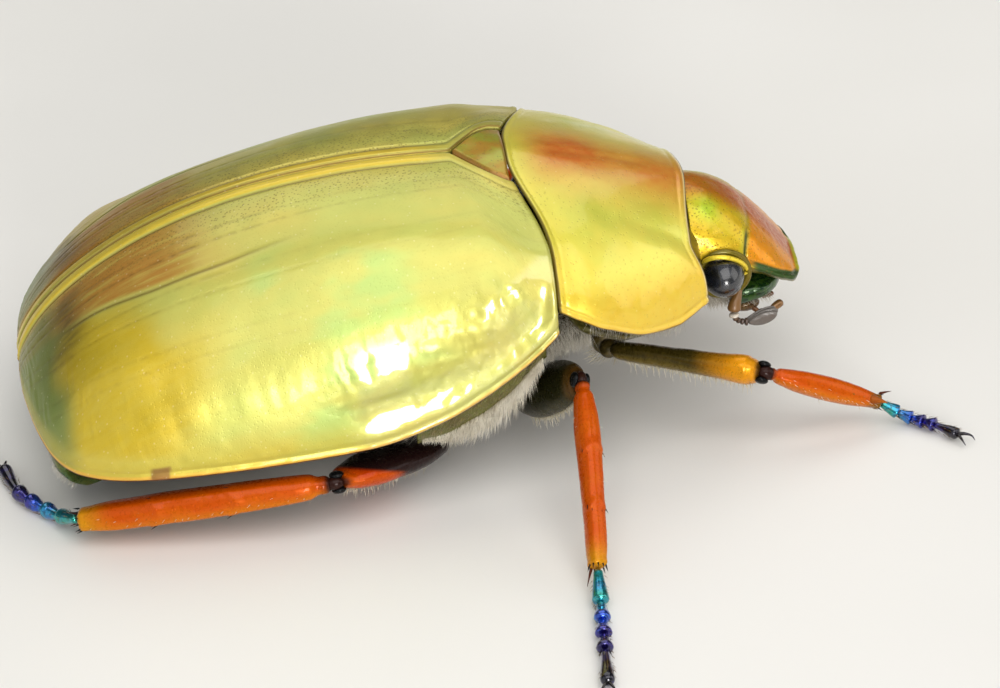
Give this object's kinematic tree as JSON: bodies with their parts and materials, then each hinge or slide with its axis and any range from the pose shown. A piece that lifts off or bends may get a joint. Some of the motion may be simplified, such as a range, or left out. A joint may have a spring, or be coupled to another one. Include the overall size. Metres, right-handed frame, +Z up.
{
  "type": "shining leaf chafer",
  "caption": "Life-size shining leaf chafer standing level on its feet, with domed green-gold wing cases, bowed head, leafed feelers and orange-red shins.",
  "frame": {"origin": "on the floor, under the middle of the whole box, feet included", "axes": "+X forward to the head, +Y to the animal's left, +Z up; the feet stand at Z = 0"},
  "size_m": [0.0338, 0.0373, 0.0101],
  "materials": {
    "wing_case": "pearly yellow-green gloss with fine punctures",
    "pronotum": "smooth yellow-green to gold gloss",
    "scutellum": "smooth yellow-green gloss",
    "head": "gold to orange-brown gloss",
    "mouthparts": "dark green metallic gloss",
    "eye": "black gloss, finely faceted",
    "feeler": "grey-brown satin",
    "breast": "olive satin under pale hair",
    "belly": "dark olive satin",
    "pygidium": "olive-green satin, finely wrinkled",
    "coxa": "dark olive gloss",
    "femur": "olive to gold gloss",
    "femur_hind": "orange to dark olive gloss",
    "tibia": "orange-red gloss with dark spines",
    "tarsus": "blue-black metallic gloss"
  },
  "bodies": {
    "root": {"abdomen": "belly", "breast": "breast", "eye_left": "eye", "eye_right": "eye", "feeler_left": "feeler", "feeler_right": "feeler", "fore_coxa_left": "coxa", "fore_coxa_right": "coxa", "fore_femur_left": "femur", "fore_femur_right": "femur", "fore_tarsus_left": "tarsus", "fore_tarsus_right": "tarsus", "fore_tibia_left": "tibia", "fore_tibia_right": "tibia", "head": "head", "hind_coxa_left": "coxa", "hind_coxa_right": "coxa", "hind_femur_left": "femur_hind", "hind_femur_right": "femur_hind", "hind_tarsus_left": "tarsus", "hind_tarsus_right": "tarsus", "hind_tibia_left": "tibia", "hind_tibia_right": "tibia", "mid_coxa_left": "coxa", "mid_coxa_right": "coxa", "mid_femur_left": "femur", "mid_femur_right": "femur", "mid_tarsus_left": "tarsus", "mid_tarsus_right": "tarsus", "mid_tibia_left": "tibia", "mid_tibia_right": "tibia", "mouthparts": "mouthparts", "pronotum": "pronotum", "prosternum": "breast", "pygidium": "pygidium", "scutellum": "scutellum", "wing_case_left": "wing_case", "wing_case_right": "wing_case"}
  },
  "joints": []
}
